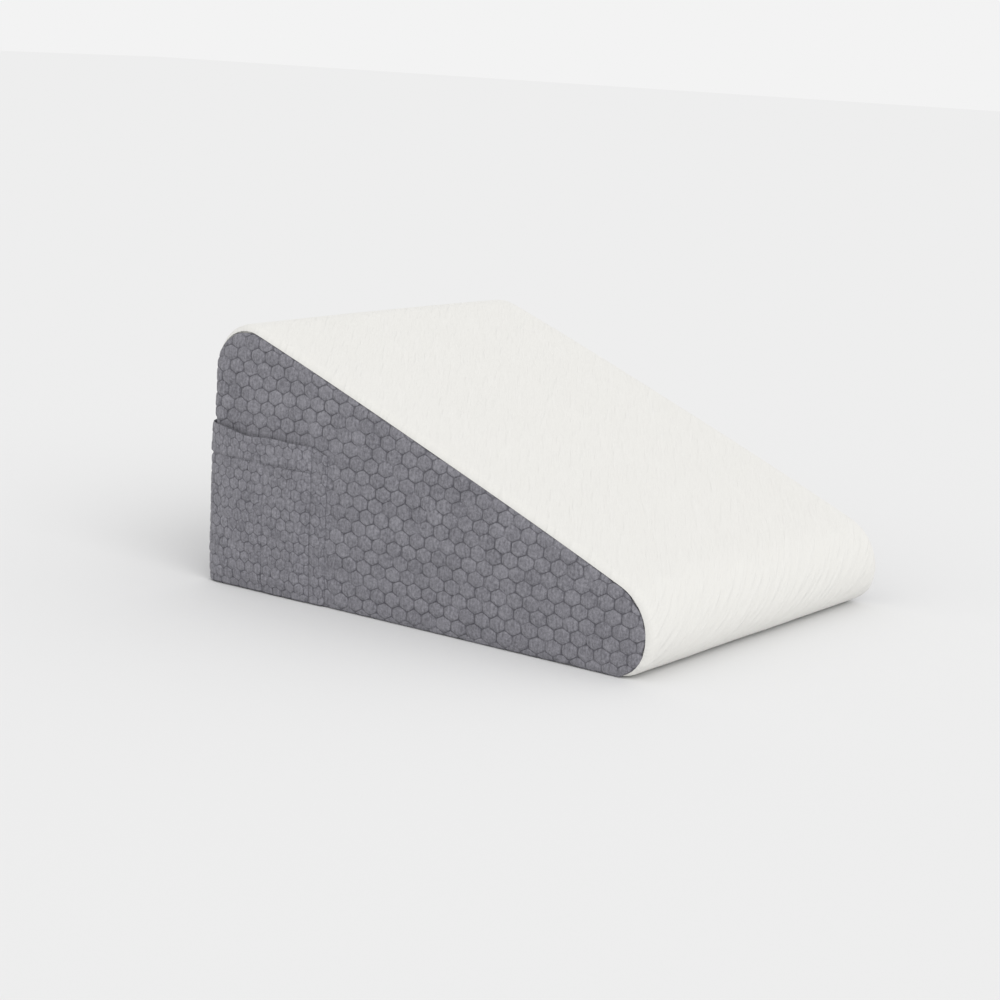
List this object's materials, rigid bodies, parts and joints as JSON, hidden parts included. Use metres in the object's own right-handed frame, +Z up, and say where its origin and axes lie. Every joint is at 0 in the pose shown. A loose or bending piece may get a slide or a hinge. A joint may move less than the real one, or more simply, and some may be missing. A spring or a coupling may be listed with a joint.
{
  "type": "wedge pillow",
  "caption": "Filled wedge pillow in a white knit cover, with honeycomb-quilted grey side and back panels, a plain base and an open patch pocket round one back corner.",
  "frame": {"origin": "middle of the footprint, on the surface that the base panel rests on", "axes": "+X along the length from the tall back to the low nose, +Y across the width away from the pocket, +Z up"},
  "size_m": [0.6143, 0.511, 0.3035],
  "materials": {
    "white_knit": "matt off-white jacquard knit with a faint rippled figure",
    "grey_quilt": "matt heathered grey knit, quilted in small honeycomb cells",
    "grey_plain": "matt plain grey woven base cloth"
  },
  "bodies": {
    "root": {"wedge_cushion": "white_knit", "side_panel_near": "grey_quilt", "side_panel_far": "grey_quilt", "back_panel": "grey_quilt", "side_pocket": "grey_quilt", "base_panel": "grey_plain"}
  },
  "joints": []
}
